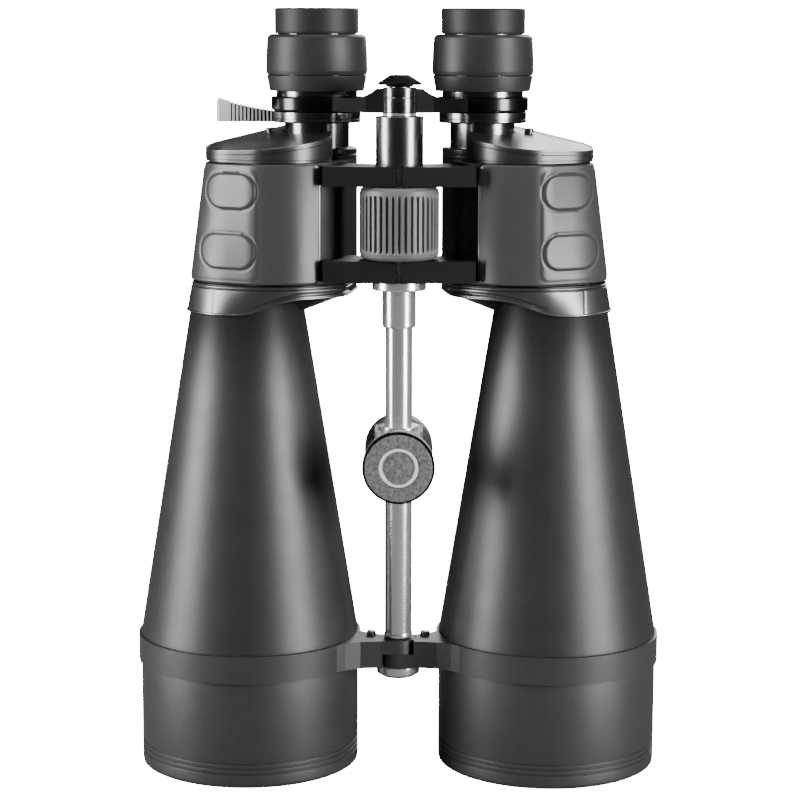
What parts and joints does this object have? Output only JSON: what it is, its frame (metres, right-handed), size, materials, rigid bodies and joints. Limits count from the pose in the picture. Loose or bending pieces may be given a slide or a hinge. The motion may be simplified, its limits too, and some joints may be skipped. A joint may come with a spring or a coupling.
{
  "type": "astronomy binoculars",
  "caption": "Large Porro prism binoculars standing on their objective rims, with zoom eyepieces, centre focus wheel, braced tripod rod and sliding tripod clamp.",
  "frame": {"origin": "on the floor under the objective rims, midway between the objective axes", "axes": "+Z along the optical axes from objectives to eyepieces, +X from the left barrel (seen from the focus wheel side) to the right one, +Y from the hinge side to the eyepiece side"},
  "size_m": [0.2104, 0.0898, 0.3028],
  "materials": {
    "body_paint": "satin black paint",
    "bridge_paint": "satin black paint",
    "housing_paint": "matt black paint",
    "satin_metal": "satin dark metallic",
    "armour_rubber": "satin rubber",
    "grip_rubber": "satin rubber",
    "eyecup_rubber": "matt rubber",
    "black_anodised": "satin anodised",
    "brass_cam": "turned",
    "screw_steel": "turned",
    "axle_chrome": "polished",
    "clamp_paint": "fine blasted",
    "optical_glass": "coated"
  },
  "bodies": {
    "left_half": {"left_objective_cell": "body_paint", "left_objective_ring": "black_anodised", "left_objective_doublet": "optical_glass", "left_barrel": "body_paint", "left_front_bridge_arm": "bridge_paint", "left_prism_housing": "housing_paint", "left_armour": "armour_rubber", "left_nose_cover": "satin_metal", "left_prism_shelf": "black_anodised", "left_rear_prism": "optical_glass", "left_front_prism": "optical_glass", "left_rear_cover": "satin_metal", "left_cover_screws": "screw_steel", "left_eyepiece_guide": "black_anodised", "hinge_axle": "axle_chrome", "tripod_rod": "axle_chrome", "rod_cap_nut": "axle_chrome", "rod_collar": "bridge_paint"},
    "right_half": {"right_objective_cell": "body_paint", "right_objective_ring": "black_anodised", "right_objective_doublet": "optical_glass", "right_barrel": "body_paint", "right_front_bridge_arm": "bridge_paint", "right_prism_housing": "housing_paint", "right_armour": "armour_rubber", "right_nose_cover": "satin_metal", "right_prism_shelf": "black_anodised", "right_rear_prism": "optical_glass", "right_front_prism": "optical_glass", "right_rear_cover": "satin_metal", "right_cover_screws": "screw_steel", "right_eyepiece_guide": "black_anodised"},
    "focus_wheel": {"focus_wheel_core": "black_anodised", "focus_wheel_grip": "grip_rubber"},
    "left_ocular": {"left_eyepiece_arm": "bridge_paint", "left_eyepiece_tube": "black_anodised", "left_grip_ring": "grip_rubber", "left_eye_lens_cell": "black_anodised", "left_eye_lens": "optical_glass", "left_eyecup": "eyecup_rubber", "focus_spindle": "screw_steel", "focus_drive_pin": "screw_steel", "spindle_cap": "black_anodised"},
    "right_ocular": {"right_eyepiece_arm": "bridge_paint", "right_eyepiece_tube": "black_anodised", "right_eyecup": "eyecup_rubber"},
    "left_zoom": {"left_zoom_ring": "satin_metal", "left_zoom_cam": "brass_cam"},
    "right_zoom": {"right_zoom_ring": "satin_metal", "right_zoom_cam": "brass_cam"},
    "left_zoom_group": {"left_zoom_lens_cell": "black_anodised", "left_zoom_lens": "optical_glass"},
    "right_zoom_group": {"right_zoom_lens_cell": "black_anodised", "right_zoom_lens": "optical_glass"},
    "diopter": {"right_diopter_ring": "grip_rubber"},
    "right_eye_group": {"right_eye_lens_cell": "black_anodised", "right_eye_lens": "optical_glass"},
    "clamp_slider": {"clamp_bush": "axle_chrome"},
    "clamp": {"clamp_block": "clamp_paint"},
    "lock_knob": {"lock_knob": "clamp_paint"}
  },
  "joints": [
    {"name": "fold", "type": "hinge", "parent": "left_half", "child": "right_half", "pos_m": [0, -0.013, 0.22], "axis": [0, 0, 1], "range_deg": [-10, 16]},
    {"name": "focus_turn", "type": "hinge", "parent": "left_half", "child": "focus_wheel", "pos_m": [0, -0.013, 0.22], "axis": [0, 0, 1], "range_deg": [0, 420]},
    {"name": "left_focus_travel", "type": "slide", "parent": "left_half", "child": "left_ocular", "axis": [0, 0, 1], "range_m": [0, 0.0084]},
    {"name": "right_focus_travel", "type": "slide", "parent": "right_half", "child": "right_ocular", "axis": [0, 0, 1], "range_m": [0, 0.0084]},
    {"name": "zoom_lever_turn", "type": "hinge", "parent": "left_ocular", "child": "left_zoom", "pos_m": [-0.0333, 0.022, 0.2597], "axis": [0, 0, 1], "range_deg": [-50, 50]},
    {"name": "right_zoom_turn", "type": "hinge", "parent": "right_ocular", "child": "right_zoom", "pos_m": [0.0333, 0.022, 0.2597], "axis": [0, 0, 1], "range_deg": [-50, 50]},
    {"name": "left_zoom_travel", "type": "slide", "parent": "left_ocular", "child": "left_zoom_group", "axis": [0, 0, 1], "range_m": [-0.0035, 0.0035]},
    {"name": "right_zoom_travel", "type": "slide", "parent": "right_ocular", "child": "right_zoom_group", "axis": [0, 0, 1], "range_m": [-0.0035, 0.0035]},
    {"name": "diopter_turn", "type": "hinge", "parent": "right_ocular", "child": "diopter", "pos_m": [0.0333, 0.022, 0.284], "axis": [0, 0, 1], "range_deg": [-60, 60]},
    {"name": "right_eye_lens_travel", "type": "slide", "parent": "right_ocular", "child": "right_eye_group", "axis": [0, 0, 1], "range_m": [-0.0015, 0.0015]},
    {"name": "clamp_travel", "type": "slide", "parent": "left_half", "child": "clamp_slider", "axis": [0, 0, 1], "range_m": [-0.03, 0.03]},
    {"name": "clamp_turn", "type": "hinge", "parent": "clamp_slider", "child": "clamp", "pos_m": [0, -0.013, 0.1275], "axis": [0, 0, 1], "range_deg": [-10, 10]},
    {"name": "knob_turn", "type": "hinge", "parent": "clamp", "child": "lock_knob", "pos_m": [0, -0.03, 0.1275], "axis": [0, -1, 0], "range_deg": [-360, 0]}
  ],
  "couplings": [
    {"joint": "focus_turn", "follows": "left_focus_travel", "rad_per_m": 872},
    {"joint": "right_focus_travel", "follows": "left_focus_travel", "ratio": 1},
    {"joint": "right_zoom_turn", "follows": "zoom_lever_turn", "ratio": 1},
    {"joint": "left_zoom_travel", "follows": "zoom_lever_turn", "m_per_rad": 0.004},
    {"joint": "right_zoom_travel", "follows": "zoom_lever_turn", "m_per_rad": 0.004},
    {"joint": "right_eye_lens_travel", "follows": "diopter_turn", "m_per_rad": 0.00143}
  ]
}
